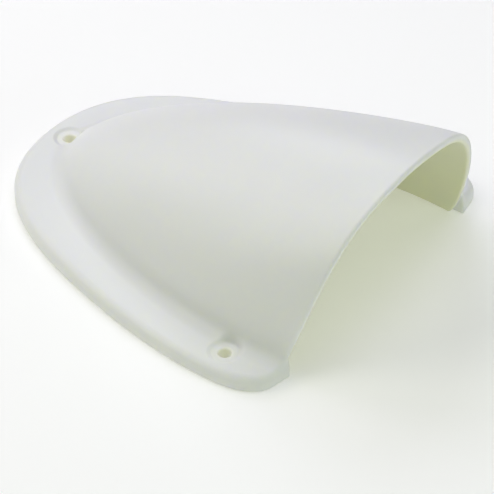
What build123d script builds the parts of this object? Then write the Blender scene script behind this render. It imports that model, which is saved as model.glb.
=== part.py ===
from build123d import *
import math
import os

# Cowl vent of the clamshell kind: one hollow moulding with a raised hood, open
# at the mouth and underneath, a flange on three sides and three screw holes.
# Millimetres. +X points out of the mouth, +Z up, the deck is z = 0, the vent is
# symmetric about y = 0 and the origin is the middle of its box on the deck.

# ---- driving dimensions -------------------------------------------------
LENGTH = 126.77         # nose of the flange to the rounded lip over the mouth
FLANGE_T = 4.4          # height of the flat flange top above the deck
EDGE_R = 2.5            # rounding of the flange's outer top edge
LIP_R = 1.0             # rounding of the hood's lip
WALL = 2.4              # wall thickness of the hood
FOOT_X = 117.608        # front of the flange feet, from the nose
MOUTH_X0 = 113.73       # front of the hood wall at the deck
MOUTH_REACH = 13.35     # how far the mouth leans forward over its height
MOUTH_POW = 0.7154      # curve of the lean
CREST_Z = 48.2          # height of the crest at the mouth
LUG_Z = 8.56            # height at which the leaning lip meets the feet

SIDE_HOLE_X, SIDE_HOLE_Y = 100.76, 47.98
NOSE_HOLE_X = 8.32
HOLE_D = 3.6            # clearance for a 3.5 mm (No. 6) screw
POCKET_D = 8.6          # seat for the screw head, at the flange top
SEAT_SLOPE = 0.35       # how much the seat widens per mm of height
SEAT_H = 3.2            # height of that widening wall, into the foot of the hood
POCKET_Z = 3.85         # floor of the seat
BOSS_D = 12.4           # solid stock kept round each hole
SETBACK_Y = 42.25       # half width of the part of the lip that stands back
CORE_DEPTH = 2.0        # recess under the flange
CORE_WALL = 2.4
CORE_END = 109.0        # the recess stops short of the feet

# half outline of the flange, measured from the nose: two Bezier curves
OUTLINE_A = [(0, 0), (0, 25.30), (14.72, 41.65), (44.14, 44.95), (70.48, 56.60), (101.74, 55.75)]
OUTLINE_B = [(101.74, 55.75), (111.23, 55.50), (117.608, 52.2), (117.608, 42.65)]

# line where the hood stands on the flange
BASE_TH = math.radians(-7.69)
BASE_END = (117.31, 42.13)
BASE = [(10.60, 0.0), (10.60, 26.25),
        (BASE_END[0] - 41.81 * math.cos(BASE_TH), BASE_END[1] - 41.81 * math.sin(BASE_TH)), BASE_END]

# the hood is a fan of arched sections about a pole in front of the mouth
X_POLE, Z_POLE = 143.45, 48.85
M0, M1, M2, M3 = 1.746, 3.042, -0.129, 0.471
N0, N1, N2, N3 = 1.364, 1.939, 0.126, -0.099
PHI_MAX = math.radians(106)
N_PHI = 36
X0 = -LENGTH / 2


def bez(pts, t):
    n = len(pts) - 1
    return tuple(sum(math.comb(n, i) * (1 - t) ** (n - i) * t ** i * pts[i][k] for i in range(n + 1))
                 for k in (0, 1))


def at(x, y):
    return (x + X0, y)


base_line = [bez(BASE, i / 400) for i in range(401)]
base_line += [(BASE_END[0] + k * 0.9 * math.cos(BASE_TH), BASE_END[1] + k * 0.9 * math.sin(BASE_TH))
              for k in range(1, 56)]

# polar table of the base line about the pole: angle, radius, sine of the angle
# between the section and the line
table = []
for i, (x, y) in enumerate(base_line):
    ang, rad = math.atan2(y, X_POLE - x), math.hypot(X_POLE - x, y)
    xa, ya = base_line[max(i - 1, 0)]
    xb, yb = base_line[min(i + 1, len(base_line) - 1)]
    tx, ty = (xb - xa, yb - ya) if i else (0.0, 1.0)
    ln = math.hypot(tx, ty)
    table.append((ang, rad, abs((x - X_POLE) / rad * ty / ln - y / rad * tx / ln)))


def polar(phi):
    phi = abs(phi)
    for a, b in zip(table, table[1:]):
        if phi <= b[0]:
            f = max(0.0, (phi - a[0]) / (b[0] - a[0] + 1e-12))
            return a[1] + f * (b[1] - a[1]), a[2] + f * (b[2] - a[2])
    return table[-1][1], table[-1][2]


def hood_z(phi, rho):
    s2, s4 = math.sin(phi) ** 2, math.sin(2 * phi) ** 2
    m = M0 + (M1 - M0) * s2 + M2 * s4 + M3 * s2 ** 3
    n = N0 + (N1 - N0) * s2 + N2 * s4 + N3 * s2 ** 3
    return FLANGE_T + (Z_POLE - FLANGE_T) * max(0.0, 1 - rho ** m) ** (1 / n)


def flare(phi):
    # radius of the sweep between hood and flange, larger towards the mouth
    return 3.4 + 0.8 * min(1.0, max(0.0, (math.sin(abs(phi)) - 0.2) / 0.6))


def profile(phi, count):
    rad, sine = polar(phi)
    h_full = rad * sine
    out = []
    for i in range(count + 1):
        rho = 1 - (i / count) ** 2.2 * (1 - 0.045)
        out.append(((1 - rho) * h_full, hood_z(phi, rho)))
    return out, rad, sine


def resample(line, count, power):
    acc = [0.0]
    for p, q in zip(line, line[1:]):
        acc.append(acc[-1] + math.hypot(q[0] - p[0], q[1] - p[1]))
    out, j = [], 0
    for i in range(1, count + 1):
        s = acc[-1] * (i / count) ** power
        while acc[j + 1] < s - 1e-9 and j < len(acc) - 2:
            j += 1
        f = (s - acc[j]) / (acc[j + 1] - acc[j])
        out.append((line[j][0] + f * (line[j + 1][0] - line[j][0]), line[j][1] + f * (line[j + 1][1] - line[j][1])))
    return out


def place(pts, phi, rad, sine):
    out = []
    for h, z in pts:
        r = rad - h / sine
        out.append((X_POLE - r * math.cos(phi) + X0, r * math.sin(phi), z))
    return out


def outer_section(phi):
    # flat flange top, ball-rolled sweep, then the hood
    prof, rad, sine = profile(phi, 2000)
    a = flare(phi)
    near = [k for k, (h, z) in enumerate(prof) if z <= FLANGE_T + a + 1]

    def gap(c):
        return min((math.hypot(prof[k][0] - c, prof[k][1] - FLANGE_T - a), k) for k in near)

    lo, hi = -3 * a, 6.0
    for _ in range(34):
        mid = (lo + hi) / 2
        if gap(mid)[0] > a:
            lo = mid
        else:
            hi = mid
    c = (lo + hi) / 2
    k = gap(c)[1]
    end = math.atan2(prof[k][1] - FLANGE_T - a, prof[k][0] - c)
    pts = [(c - 17.0 * (1 - i / 10) ** 1.15, FLANGE_T) for i in range(10)]
    for i in range(15):
        t = -math.pi / 2 + (end + math.pi / 2) * i / 14
        pts.append((c + a * math.cos(t), FLANGE_T + a + a * math.sin(t)))
    return place(pts + resample(prof[k:], 44, 1.35), phi, rad, sine)


def inner_section(phi):
    # the hood's section moved in by the wall, its tight bend at the base eased
    prof, rad, sine = profile(phi, 500)
    line = [(0.0, -9.0 + 0.1 * i) for i in range(134)] + prof
    w2 = WALL ** 2
    pts, z = [], -7.6
    while True:
        h = max(p[0] + math.sqrt(w2 - (z - p[1]) ** 2) for p in line if abs(z - p[1]) < WALL)
        if len(pts) > 60 and h - pts[-1][0] > 0.2:
            break
        pts.append((h, z))
        z += 0.2
    h = pts[-1][0] + 0.2
    while h < prof[-1][0]:
        pts.append((h, min(p[1] - math.sqrt(w2 - (h - p[0]) ** 2) for p in line if abs(h - p[0]) < WALL)))
        h += 0.2
    out = [pts[0]] + resample(pts, 56, 1.15)
    for _ in range(8):
        out = [out[0]] + [((p[0] + 2 * q[0] + r[0]) / 4, (p[1] + 2 * q[1] + r[1]) / 4)
                          for p, q, r in zip(out, out[1:], out[2:])] + [out[-1]]
    return place(out, phi, rad, sine)


def fan(section, n, skip=1):
    half = [section(PHI_MAX * i / n)[::skip] for i in range(n + 1)]
    return [[(x, -y, z) for x, y, z in row] for row in half[:0:-1]] + half


def mouth_x(z):
    return MOUTH_X0 + MOUTH_REACH * (max(z, 0.0) / CREST_Z) ** MOUTH_POW


def shifted(line, dist, step=9):
    # the line moved sideways (out is positive) and cut off at CORE_END, as
    # spline points and the directions at its two ends
    out = []
    for i, (x, y) in enumerate(line):
        xa, ya = line[max(i - 1, 0)]
        xb, yb = line[min(i + 1, len(line) - 1)]
        tx, ty = (xb - xa, yb - ya) if i else (0.0, 1.0)
        ln = math.hypot(tx, ty)
        out.append((x - ty / ln * dist, y + tx / ln * dist))
    k = next(i for i, p in enumerate(out) if p[0] > CORE_END)
    (xa, ya), (xb, yb) = out[k - 1], out[k]
    end = (CORE_END, ya + (yb - ya) * (CORE_END - xa) / (xb - xa))
    return [at(*p) for p in out[:k - step // 2:step] + [end]], [(0, 1), (xb - xa, yb - ya)]


top_face = Face.make_surface_from_array_of_points(fan(outer_section, N_PHI), tol=0.012, min_deg=3, max_deg=5)
cavity_face = Face.make_surface_from_array_of_points(fan(inner_section, 24, 2), tol=0.05, min_deg=3, max_deg=5)

# ---- hood and flange as a solid, before any rounding ---------------------
with BuildPart() as blank:
    with BuildSketch(Plane.XY):
        with BuildLine():
            Bezier(*[at(*p) for p in OUTLINE_A])
            Bezier(*[at(*p) for p in OUTLINE_B])
            Line(at(*OUTLINE_B[-1]), at(133, OUTLINE_B[-1][1]))
            Line(at(133, OUTLINE_B[-1][1]), at(133, 0))
            mirror(about=Plane.XZ)
        make_face()
    extrude(amount=56)
    # the mouth: upright over the feet, then leaning forward to the crest
    with BuildSketch(Plane.XZ):
        with BuildLine():
            Line(at(FOOT_X, -1), at(FOOT_X, LUG_Z))
            lean = Spline(*[at(mouth_x(z) if z > LUG_Z else FOOT_X, z)
                            for z in (LUG_Z, 12, 17, 23, 30, 38, 48.2, 56)])
            Polyline(lean @ 1, ((lean @ 1).X, 60), at(140, 60), at(140, -1), at(FOOT_X, -1))
        make_face()
    extrude(amount=70, both=True, mode=Mode.SUBTRACT)
    split(bisect_by=top_face, keep=Keep.TOP)


def rim_edges(part):
    # every edge along the top of the outline and over the lip
    out = []
    for e in part.edges():
        b = e.bounding_box()
        if b.min.Z > FLANGE_T - 0.05 and not (b.size.X < 0.01 and b.size.Z < 0.01) and b.size.Y > 0.05:
            out.append(e)
    return out


with BuildPart() as flange_rounded:
    add(blank.part)
    fillet(rim_edges(flange_rounded.part), radius=EDGE_R)
    split(bisect_by=Plane.XY.offset(LUG_Z), keep=Keep.BOTTOM)

with BuildPart() as lip_rounded:
    add(blank.part)
    fillet(rim_edges(lip_rounded.part), radius=LIP_R)
    split(bisect_by=Plane.XY.offset(LUG_Z), keep=Keep.TOP)

# ---- cavity, with solid stock left round each screw ----------------------
with BuildPart() as cavity:
    with BuildSketch(Plane.XY.offset(-4)):
        with Locations((X0 + 66.5, 0)):
            Rectangle(133, 110)
    extrude(amount=64)
    split(bisect_by=cavity_face, keep=Keep.TOP)
    with BuildSketch(Plane.XY.offset(-5)):
        with Locations(at(SIDE_HOLE_X, SIDE_HOLE_Y), at(SIDE_HOLE_X, -SIDE_HOLE_Y), at(NOSE_HOLE_X, 0)):
            Circle(BOSS_D / 2)
    extrude(amount=15, mode=Mode.SUBTRACT)


with BuildPart() as vent_shell:
    add(flange_rounded.part)
    add(lip_rounded.part)
    add(cavity.part, mode=Mode.SUBTRACT)
    # between the feet the hood wall stands back from their fronts
    with BuildSketch(Plane.XZ):
        with BuildLine():
            back = Spline(*[at(mouth_x(z), z) for z in (0, 0.5, 1.5, 3, 5, 7, LUG_Z)])
            Polyline(back @ 1, (FOOT_X + X0 + 3, LUG_Z), (FOOT_X + X0 + 3, -1), (MOUTH_X0 + X0, -1), back @ 0)
        make_face()
    extrude(amount=SETBACK_Y, both=True, mode=Mode.SUBTRACT)
    # seats and holes for the screws
    with BuildSketch(Plane.XY.offset(POCKET_Z)):
        with Locations(at(SIDE_HOLE_X, SIDE_HOLE_Y), at(SIDE_HOLE_X, -SIDE_HOLE_Y), at(NOSE_HOLE_X, 0)):
            Circle(POCKET_D / 2 - SEAT_SLOPE * (FLANGE_T - POCKET_Z))
    extrude(amount=SEAT_H, taper=-math.degrees(math.atan(SEAT_SLOPE)), mode=Mode.SUBTRACT)
    with BuildSketch(Plane.XY.offset(-1)):
        with Locations(at(SIDE_HOLE_X, SIDE_HOLE_Y), at(SIDE_HOLE_X, -SIDE_HOLE_Y), at(NOSE_HOLE_X, 0)):
            Circle(HOLE_D / 2)
    extrude(amount=7, mode=Mode.SUBTRACT)
    # recess under the flange, clear of the walls, the bosses and the feet
    with BuildSketch(Plane.XY.offset(-1)):
        with BuildLine():
            rim, rim_ends = shifted([bez(OUTLINE_A, i / 200) for i in range(201)]
                                    + [bez(OUTLINE_B, i / 200) for i in range(1, 150)], -CORE_WALL)
            wall, wall_ends = shifted([bez(BASE, i / 200) for i in range(201)], CORE_WALL)
            outer = Spline(*rim, tangents=rim_ends)
            inner = Spline(*wall, tangents=wall_ends)
            Line(outer @ 1, inner @ 1)
            mirror(about=Plane.XZ)
        make_face()
        with Locations(at(SIDE_HOLE_X, SIDE_HOLE_Y), at(SIDE_HOLE_X, -SIDE_HOLE_Y), at(NOSE_HOLE_X, 0)):
            Circle(POCKET_D / 2, mode=Mode.SUBTRACT)
    extrude(amount=1 + CORE_DEPTH, mode=Mode.SUBTRACT)

vent_shell.part.label = "vent_shell"
os.makedirs("parts", exist_ok=True)
export_step(vent_shell.part, "parts/vent_shell.step")
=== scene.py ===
import math

import bpy
import numpy as np
import openvdb
from mathutils import Matrix, Vector


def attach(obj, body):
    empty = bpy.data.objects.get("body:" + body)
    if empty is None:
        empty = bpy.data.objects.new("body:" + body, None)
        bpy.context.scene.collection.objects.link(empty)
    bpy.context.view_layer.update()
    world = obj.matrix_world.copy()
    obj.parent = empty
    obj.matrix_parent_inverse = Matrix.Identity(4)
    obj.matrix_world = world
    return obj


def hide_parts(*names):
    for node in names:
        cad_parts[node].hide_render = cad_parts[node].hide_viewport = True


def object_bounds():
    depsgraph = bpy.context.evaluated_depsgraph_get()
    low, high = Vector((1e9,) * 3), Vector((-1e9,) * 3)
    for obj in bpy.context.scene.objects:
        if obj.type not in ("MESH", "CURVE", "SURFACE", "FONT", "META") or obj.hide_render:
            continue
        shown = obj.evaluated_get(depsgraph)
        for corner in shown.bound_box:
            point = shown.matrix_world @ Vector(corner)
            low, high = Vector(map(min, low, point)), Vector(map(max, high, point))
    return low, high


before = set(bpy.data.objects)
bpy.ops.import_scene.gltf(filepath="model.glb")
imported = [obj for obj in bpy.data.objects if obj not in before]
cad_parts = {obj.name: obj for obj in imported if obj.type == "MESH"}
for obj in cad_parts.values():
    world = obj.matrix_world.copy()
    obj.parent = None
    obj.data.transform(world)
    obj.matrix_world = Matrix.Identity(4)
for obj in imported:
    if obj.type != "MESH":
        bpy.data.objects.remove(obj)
cad_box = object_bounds()

# ---------------------------------------------------------------- dimensions (mm)
X0 = -126.77 / 2
HF, EDGE_R, WALL = 4.4, 2.5, 2.4
FOOT_X, LUG_Z = 117.80, 9.20
MOUTH_X0, REACH, POW, CREST = 113.73, 13.35, 0.7154, 48.2
XP, ZP = 143.45, 48.85
M0, M1, M2, M3 = 1.746, 3.042, -0.129, 0.471
N0, N1, N2, N3 = 1.364, 1.939, 0.126, -0.099
HOLES = ((100.76, 47.98), (100.76, -47.98), (8.32, 0.0))
HOLE_R, POCKET_R, POCKET_Z, BOSS_R = 1.8, 4.3, 3.85, 6.2
SEAT_SLOPE, SEAT_H, SETBACK_Y = 0.35, 3.2, 41.8
CORE_DEPTH, CORE_WALL, CORE_END = 2.0, 2.4, 109.0
VOX = 0.42


def bezier(points, count):
    points = np.array(points, float)
    n = len(points) - 1
    t = np.linspace(0, 1, count)[:, None]
    return sum(math.comb(n, i) * (1 - t) ** (n - i) * t ** i * points[i] for i in range(n + 1))


outline = np.vstack([
    bezier([(0, 0), (0, 25.30), (14.72, 41.65), (44.14, 44.95), (70.48, 56.60), (101.74, 55.75)], 220),
    bezier([(101.74, 55.75), (111.23, 55.50), (117.8, 52.2), (117.8, 42.65)], 70)[1:],
    [(117.8, 20.0), (117.8, 0.0)]])
TH = math.radians(-7.69)
base = np.vstack([
    bezier([(10.60, 0.0), (10.60, 26.25), (117.31 - 41.81 * math.cos(TH), 42.13 - 41.81 * math.sin(TH)), (117.31, 42.13)], 400),
    [(117.31 + k * 0.9 * math.cos(TH), 42.13 + k * 0.9 * math.sin(TH)) for k in range(1, 56)]])
tang = np.gradient(base, axis=0)
tang[0] = (0, 1)
tang /= np.linalg.norm(tang, axis=1)[:, None]
ray = base - (XP, 0)
B_PHI = np.arctan2(ray[:, 1], -ray[:, 0])
B_R = np.hypot(ray[:, 0], ray[:, 1])
ray /= B_R[:, None]
B_S = np.abs(ray[:, 0] * tang[:, 1] - ray[:, 1] * tang[:, 0])


def plan_distance(x, y, line):
    """Signed distance in plan to a half outline closed on y = 0; negative inside."""
    x, y = np.ravel(x), np.abs(np.ravel(y))
    best = np.full(x.shape, 1e9)
    inside = np.zeros(x.shape, bool)
    for (ax, ay), (bx, by) in zip(line[:-1], line[1:]):
        dx, dy = bx - ax, by - ay
        t = np.clip(((x - ax) * dx + (y - ay) * dy) / (dx * dx + dy * dy + 1e-12), 0, 1)
        best = np.minimum(best, (x - ax - t * dx) ** 2 + (y - ay - t * dy) ** 2)
        if (ay > 0 or by > 0):
            cross = ((ax <= x) & (x < bx)) | ((bx <= x) & (x < ax))
            with np.errstate(divide="ignore", invalid="ignore"):
                yy = ay + (x - ax) / dx * dy if dx else np.full(x.shape, -1.0)
            inside ^= cross & (y < yy)
    return np.where(inside, -1, 1) * np.sqrt(best)


def plan_fields(x, y):
    """Everything that depends on plan position only."""
    shape = np.shape(x)
    phi = np.arctan2(np.abs(y), XP - x)
    s2, s4 = np.sin(phi) ** 2, np.sin(2 * phi) ** 2
    f = {
        "x": x, "y": y,
        "flange": plan_distance(x, y, outline).reshape(shape),
        "rho_r": np.hypot(XP - x, y),
        "R": np.interp(phi, B_PHI, B_R), "S": np.interp(phi, B_PHI, B_S),
        "m": M0 + (M1 - M0) * s2 + M2 * s4 + M3 * s2 ** 3,
        "n": N0 + (N1 - N0) * s2 + N2 * s4 + N3 * s2 ** 3,
        "flare": 3.4 + 0.8 * np.clip((np.sin(phi) - 0.2) / 0.6, 0, 1),
        "holes": np.minimum.reduce([np.hypot(x - hx, y - hy) for hx, hy in HOLES]),
    }
    return f


def r_inter(a, b, r):
    return np.minimum(-r, np.maximum(a, b)) + np.hypot(np.maximum(r + a, 0), np.maximum(r + b, 0))


def r_union(a, b, r):
    return np.maximum(r, np.minimum(a, b)) - np.hypot(np.maximum(r - a, 0), np.maximum(r - b, 0))


def dome_distance(f, z):
    """Distance to the outside of the hood alone: negative under it."""
    q = np.clip((z - HF) / (ZP - HF), 0, None)
    rho = np.maximum(f["rho_r"] / f["R"], 1e-3)
    g = q ** f["n"] + rho ** f["m"] - 1
    gz = f["n"] * np.maximum(q, 1e-6) ** (f["n"] - 1) / (ZP - HF)
    gr = f["m"] * rho ** (f["m"] - 1) / (f["R"] * f["S"])
    return g / np.sqrt(gz ** 2 + gr ** 2)


def vent(f, z):
    """Distance field of the moulding: negative inside the plastic."""
    z = z + np.zeros_like(f["R"])
    dome = dome_distance(f, z)
    rake = MOUTH_X0 + REACH * (np.maximum(z, 1e-4) / CREST) ** POW
    lean = np.maximum(rake, FOOT_X)
    front = (f["x"] - lean) * 0.96
    slab = r_inter(f["flange"], z - HF, EDGE_R)
    body = r_union(slab, dome, f["flare"])
    t = np.clip((z - 4.4) / 3.0, 0, 1)
    t = t * t * (3 - 2 * t)
    body = r_inter(body, front, EDGE_R + (1.0 - EDGE_R) * t)
    # hollow, with stock left round the screws
    boss = r_inter(f["holes"] - BOSS_R, z - 10.0, 0.8)
    cavity = r_inter(dome + WALL, -boss, 0.8)
    body = r_inter(body, -cavity, 0.55)
    # the wall between the feet stands back along the lean of the mouth
    setback = np.maximum.reduce([np.abs(f["y"]) - SETBACK_Y, rake - f["x"], z - LUG_Z])
    body = r_inter(body, -setback, 0.5)
    # seats and screw holes
    seat = r_inter((f["holes"] - POCKET_R - SEAT_SLOPE * (z - HF)) / math.hypot(1, SEAT_SLOPE), POCKET_Z - z, 0.5)
    seat = r_inter(seat, z - POCKET_Z - SEAT_H, 0.8)
    body = r_inter(body, -seat, 0.7)
    body = r_inter(body, -(f["holes"] - HOLE_R), 0.35)
    # recess under the flange
    core = np.maximum.reduce([f["flange"] + CORE_WALL, CORE_WALL - np.maximum(dome, -50), z - CORE_DEPTH,
                              POCKET_R - f["holes"], f["x"] - CORE_END])
    body = r_inter(body, -core, 0.3)
    return r_inter(body, -z, 0.3)


# ---------------------------------------------------------------- voxels to mesh
def build_shell():
    lo, hi = np.array([-1.5, -57.5, -1.5]), np.array([128.5, 57.5, 50.5])
    n = np.ceil((hi - lo) / VOX).astype(int) + 1
    xs, ys, zs = (lo[k] + VOX * np.arange(n[k]) for k in range(3))
    X, Y = np.meshgrid(xs, ys, indexing="ij")
    plan = plan_fields(X, Y)
    vol = np.empty(tuple(n), np.float32)
    for k, z in enumerate(zs):
        vol[:, :, k] = vent(plan, z)
    band = 3 * VOX
    vol = np.clip(vol, -band, band)
    grid = openvdb.FloatGrid(band)
    grid.copyFromArray(vol, tolerance=0.0)
    pts, quads = grid.convertToQuads(isovalue=0.0)
    v = lo + np.asarray(pts, float) * VOX
    quads = np.asarray(quads, int)
    # settle every vertex on the exact surface
    e = 0.02
    for step in range(3):
        f0 = field_at(v)
        g = np.stack([field_at(v + d) - field_at(v - d) for d in np.eye(3) * e], 1) / (2 * e)
        g2 = np.maximum((g ** 2).sum(1), 0.2)
        move = -(f0 / g2)[:, None] * g
        size = np.linalg.norm(move, axis=1)
        move *= np.minimum(1, 0.25 * VOX / np.maximum(size, 1e-9))[:, None]
        v += move
    return v, quads


def field_at(p):
    return vent(plan_fields(p[:, 0], p[:, 1]), p[:, 2])


def normals_at(v, e=0.12):
    g = np.stack([field_at(v + d) - field_at(v - d) for d in np.eye(3) * e], 1)
    return g / np.maximum(np.linalg.norm(g, axis=1), 1e-9)[:, None]


verts, quads = build_shell()
mesh = bpy.data.meshes.new("vent_shell_skin")
world = (verts + (X0, 0, 0)) / 1000.0
# keep the skin inside the box of the solid (a shift of a few hundredths of a millimetre)
box = np.array([list(map(float, p)) for p in cad_box])
lo, hi = world.min(0), world.max(0)
new_lo, new_hi = np.maximum(lo, box[0] + 2e-6), np.minimum(hi, box[1] - 2e-6)
new_lo[2] = lo[2]
world = new_lo + (world - lo) * (new_hi - new_lo) / (hi - lo)
mesh.from_pydata(world.tolist(), [], quads[:, ::-1].tolist())
mesh.validate()
mesh.update()
a = world[quads[:, 0]]
nrm = np.cross(world[quads[:, 1]] - a, world[quads[:, 2]] - a)
out = normals_at(verts[quads[:, 0]])
if (nrm * out).sum(1).mean() > 0:
    mesh.flip_normals()
mesh.update()
shell = bpy.data.objects.new("vent_shell_skin", mesh)
bpy.context.scene.collection.objects.link(shell)
for p in mesh.polygons:
    p.use_smooth = True
print("skin", len(mesh.vertices), len(mesh.polygons))
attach(shell, "root")
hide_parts("vent_shell")


# ---------------------------------------------------------------- material
def moulded_plastic():
    mat = bpy.data.materials.new("white_moulded_plastic")
    mat.use_nodes = True
    nt = mat.node_tree
    nt.nodes.clear()
    N = nt.nodes.new
    L = nt.links.new
    outp = N("ShaderNodeOutputMaterial")
    bsdf = N("ShaderNodeBsdfPrincipled")
    L(bsdf.outputs[0], outp.inputs[0])
    coord = N("ShaderNodeTexCoord")

    def noise(scale, detail, rough=0.5):
        n = N("ShaderNodeTexNoise")
        n.inputs["Scale"].default_value = scale
        n.inputs["Detail"].default_value = detail
        n.inputs["Roughness"].default_value = rough
        L(coord.outputs["Object"], n.inputs["Vector"])
        return n

    cloud = noise(26, 3)
    base_mix = N("ShaderNodeMix")
    base_mix.data_type = "RGBA"
    base_mix.inputs[6].default_value = (0.800, 0.812, 0.790, 1)
    base_mix.inputs[7].default_value = (0.835, 0.842, 0.828, 1)
    L(cloud.outputs["Fac"], base_mix.inputs[0])
    # painted shade: the inner face of the hood lies in shade, so its colour is tinted a little more yellow
    inside = N("ShaderNodeAttribute")
    inside.attribute_name = "inner_face"
    inner_shade_tint = N("ShaderNodeMix")
    inner_shade_tint.data_type = "RGBA"
    inner_shade_tint.blend_type = "MULTIPLY"
    inner_shade_tint.inputs[7].default_value = (1.0, 1.0, 0.80, 1)
    L(inside.outputs["Fac"], inner_shade_tint.inputs[0])
    L(base_mix.outputs[2], inner_shade_tint.inputs[6])
    # painted light: the screw holes and their seats are painted brighter and yellower, for light that gathers there
    # through the thin plastic round them
    near_hole = N("ShaderNodeAttribute")
    near_hole.attribute_name = "near_hole"
    painted_hole_light = N("ShaderNodeMix")
    painted_hole_light.data_type = "RGBA"
    painted_hole_light.inputs[7].default_value = (0.985, 0.985, 0.84, 1)
    L(near_hole.outputs["Fac"], painted_hole_light.inputs[0])
    L(inner_shade_tint.outputs[2], painted_hole_light.inputs[6])
    L(painted_hole_light.outputs[2], bsdf.inputs["Base Color"])
    mottled = noise(420, 4, 0.6)
    rough = N("ShaderNodeMapRange")
    rough.inputs["To Min"].default_value = 0.36
    rough.inputs["To Max"].default_value = 0.50
    L(mottled.outputs["Fac"], rough.inputs["Value"])
    L(rough.outputs[0], bsdf.inputs["Roughness"])
    fine = noise(2600, 2, 0.5)
    bump = N("ShaderNodeBump")
    bump.inputs["Strength"].default_value = 0.05
    bump.inputs["Distance"].default_value = 0.00006
    L(fine.outputs["Fac"], bump.inputs["Height"])
    L(bump.outputs[0], bsdf.inputs["Normal"])
    bsdf.inputs["IOR"].default_value = 1.49
    # light passes through the thin wall and comes out a little yellow-green
    bsdf.inputs["Subsurface Weight"].default_value = 0.6
    bsdf.inputs["Subsurface Radius"].default_value = (1.0, 1.05, 0.55)
    bsdf.inputs["Subsurface Scale"].default_value = 0.002
    return mat


# share of each vertex that belongs to the shaded inner face of the hood, which gets the painted shade tint
depth = -dome_distance(plan_fields(verts[:, 0], verts[:, 1]), verts[:, 2]) / WALL
inner = np.clip((depth - 0.45) / 0.4, 0, 1)
mesh.attributes.new("inner_face", "FLOAT", "POINT").data.foreach_set("value", inner.astype(np.float32))
# and the share that belongs to a screw hole or its seat, which gets the painted light
hole_r = np.minimum.reduce([np.hypot(verts[:, 0] - hx, verts[:, 1] - hy) for hx, hy in HOLES])
near = 0.72 * np.clip((2.35 - hole_r) / 0.4, 0, 1) + 0.28 * np.clip((5.4 - hole_r) / 3.2, 0, 1)
near *= np.clip((8.0 - verts[:, 2]) / 2.5, 0, 1)
mesh.attributes.new("near_hole", "FLOAT", "POINT").data.foreach_set("value", near.astype(np.float32))
shell.data.materials.append(moulded_plastic())

# ---------------------------------------------------------------- stage
floor_mesh = bpy.data.meshes.new("floor")
s = 6.0
floor_mesh.from_pydata([(-s, -s, 0), (s, -s, 0), (s, s, 0), (-s, s, 0)], [], [(0, 1, 2, 3)])
floor = bpy.data.objects.new("floor", floor_mesh)
floor.location.z = -0.0002
bpy.context.scene.collection.objects.link(floor)
fm = bpy.data.materials.new("floor_matte")
fm.use_nodes = True
fm.node_tree.nodes["Principled BSDF"].inputs["Base Color"].default_value = (0.93, 0.93, 0.93, 1)
fm.node_tree.nodes["Principled BSDF"].inputs["Roughness"].default_value = 0.9
# the table glows a little, so that light also comes up under the hood
fm.node_tree.nodes["Principled BSDF"].inputs["Emission Color"].default_value = (1.0, 1.0, 0.88, 1)
fm.node_tree.nodes["Principled BSDF"].inputs["Emission Strength"].default_value = 0.17
floor_mesh.materials.append(fm)

# soft dome of light: bright and neutral overhead, dimmer and a little green low down
wd = bpy.data.worlds.new("studio")
bpy.context.scene.world = wd
wd.use_nodes = True
wn, wl = wd.node_tree.nodes.new, wd.node_tree.links.new
bg = wd.node_tree.nodes["Background"]
wc = wn("ShaderNodeTexCoord")
sep = wn("ShaderNodeSeparateXYZ")
wl(wc.outputs["Generated"], sep.inputs[0])
ramp = wn("ShaderNodeValToRGB")
ramp.color_ramp.elements[0].position = 0.0
ramp.color_ramp.elements[0].color = (0.9, 1.0, 0.8, 1)
ramp.color_ramp.elements[1].position = 1.0
ramp.color_ramp.elements[1].color = (1.0, 1.0, 1.0, 1)
wl(sep.outputs["Z"], ramp.inputs[0])
wl(ramp.outputs[0], bg.inputs["Color"])
bg.inputs["Strength"].default_value = 0.015


def area(name, loc, target, size, power, color):
    ld = bpy.data.lights.new(name, "AREA")
    ld.shape = "DISK"
    ld.size = size
    ld.energy = power
    ld.color = color
    ob = bpy.data.objects.new(name, ld)
    ob.location = loc
    ob.rotation_euler = (Vector(target) - Vector(loc)).to_track_quat("-Z", "Y").to_euler()
    bpy.context.scene.collection.objects.link(ob)
    return ob


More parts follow.
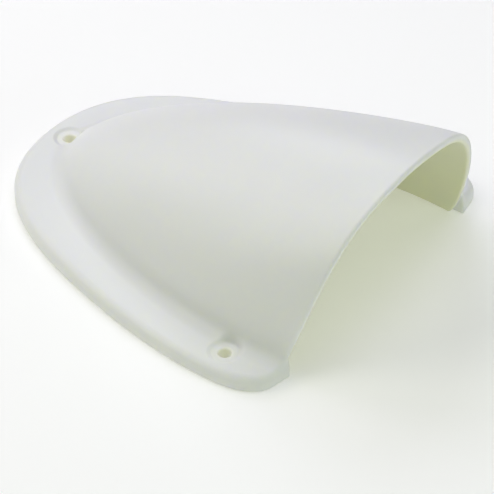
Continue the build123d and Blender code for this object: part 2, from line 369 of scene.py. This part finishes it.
# soft boxes: azimuth and elevation in degrees, power, colour
BOXES = (
    ("zenith", 0, 87, 1.30, (1.00, 0.99, 1.20)),
    ("front_left", 225, 38, 2.40, (0.99, 1.00, 0.86)),
    ("back_left", 135, 38, 2.05, (0.99, 1.00, 1.14)),
    ("nose", 180, 38, 1.70, (1.06, 1.00, 1.12)),
    ("front_right", 315, 38, 1.25, (0.88, 1.00, 0.76)),
    ("top", 60, 62, 1.25, (1.06, 1.00, 1.12)),
    ("mouth_low", 0, 15, 0.95, (0.90, 1.00, 0.74)),
    ("mouth", 0, 38, 0.75, (0.90, 1.00, 1.10)),
    ("nose_low", 180, 15, 0.55, (0.92, 1.00, 1.10)),
    ("nose_high", 180, 62, 0.45, (1.10, 1.00, 0.90)),
    ("mouth_high", 0, 62, 0.42, (0.90, 1.00, 0.80)),
)
for name, az, el, power, color in BOXES:
    A, E = math.radians(az), math.radians(el)
    area(name, (math.cos(A) * math.cos(E), math.sin(A) * math.cos(E), math.sin(E)), (0, 0, 0.015), 0.55, power, color)

# ---------------------------------------------------------------- camera
SC = 127.0 / 129.644
AZ, EL, ROLL = math.radians(36.878), math.radians(39.761), math.radians(-0.587)
back = Vector((math.sin(AZ) * math.cos(EL), -math.cos(AZ) * math.cos(EL), math.sin(EL)))
right = Vector((math.cos(AZ), math.sin(AZ), 0))
up = back.cross(right)
R = math.cos(ROLL) * right + math.sin(ROLL) * up
U = -math.sin(ROLL) * right + math.cos(ROLL) * up
target = Vector((103.087 * SC + X0, -38.877 * SC, 34.327 * SC)) / 1000
pos = target + back * (704.231 * SC / 1000)
cam_data = bpy.data.cameras.new("camera")
cam_data.sensor_width = 36.0
cam_data.lens = 2660.507 * 36.0 / 494.0
cam_data.clip_start = 0.01
cam_data.clip_end = 20
cam = bpy.data.objects.new("camera", cam_data)
m = Matrix((R, U, back)).transposed().to_4x4()
m.translation = pos
cam.matrix_world = m
bpy.context.scene.collection.objects.link(cam)
bpy.context.scene.camera = cam
bpy.context.scene.view_settings.view_transform = "Standard"

bpy.context.view_layer.update()
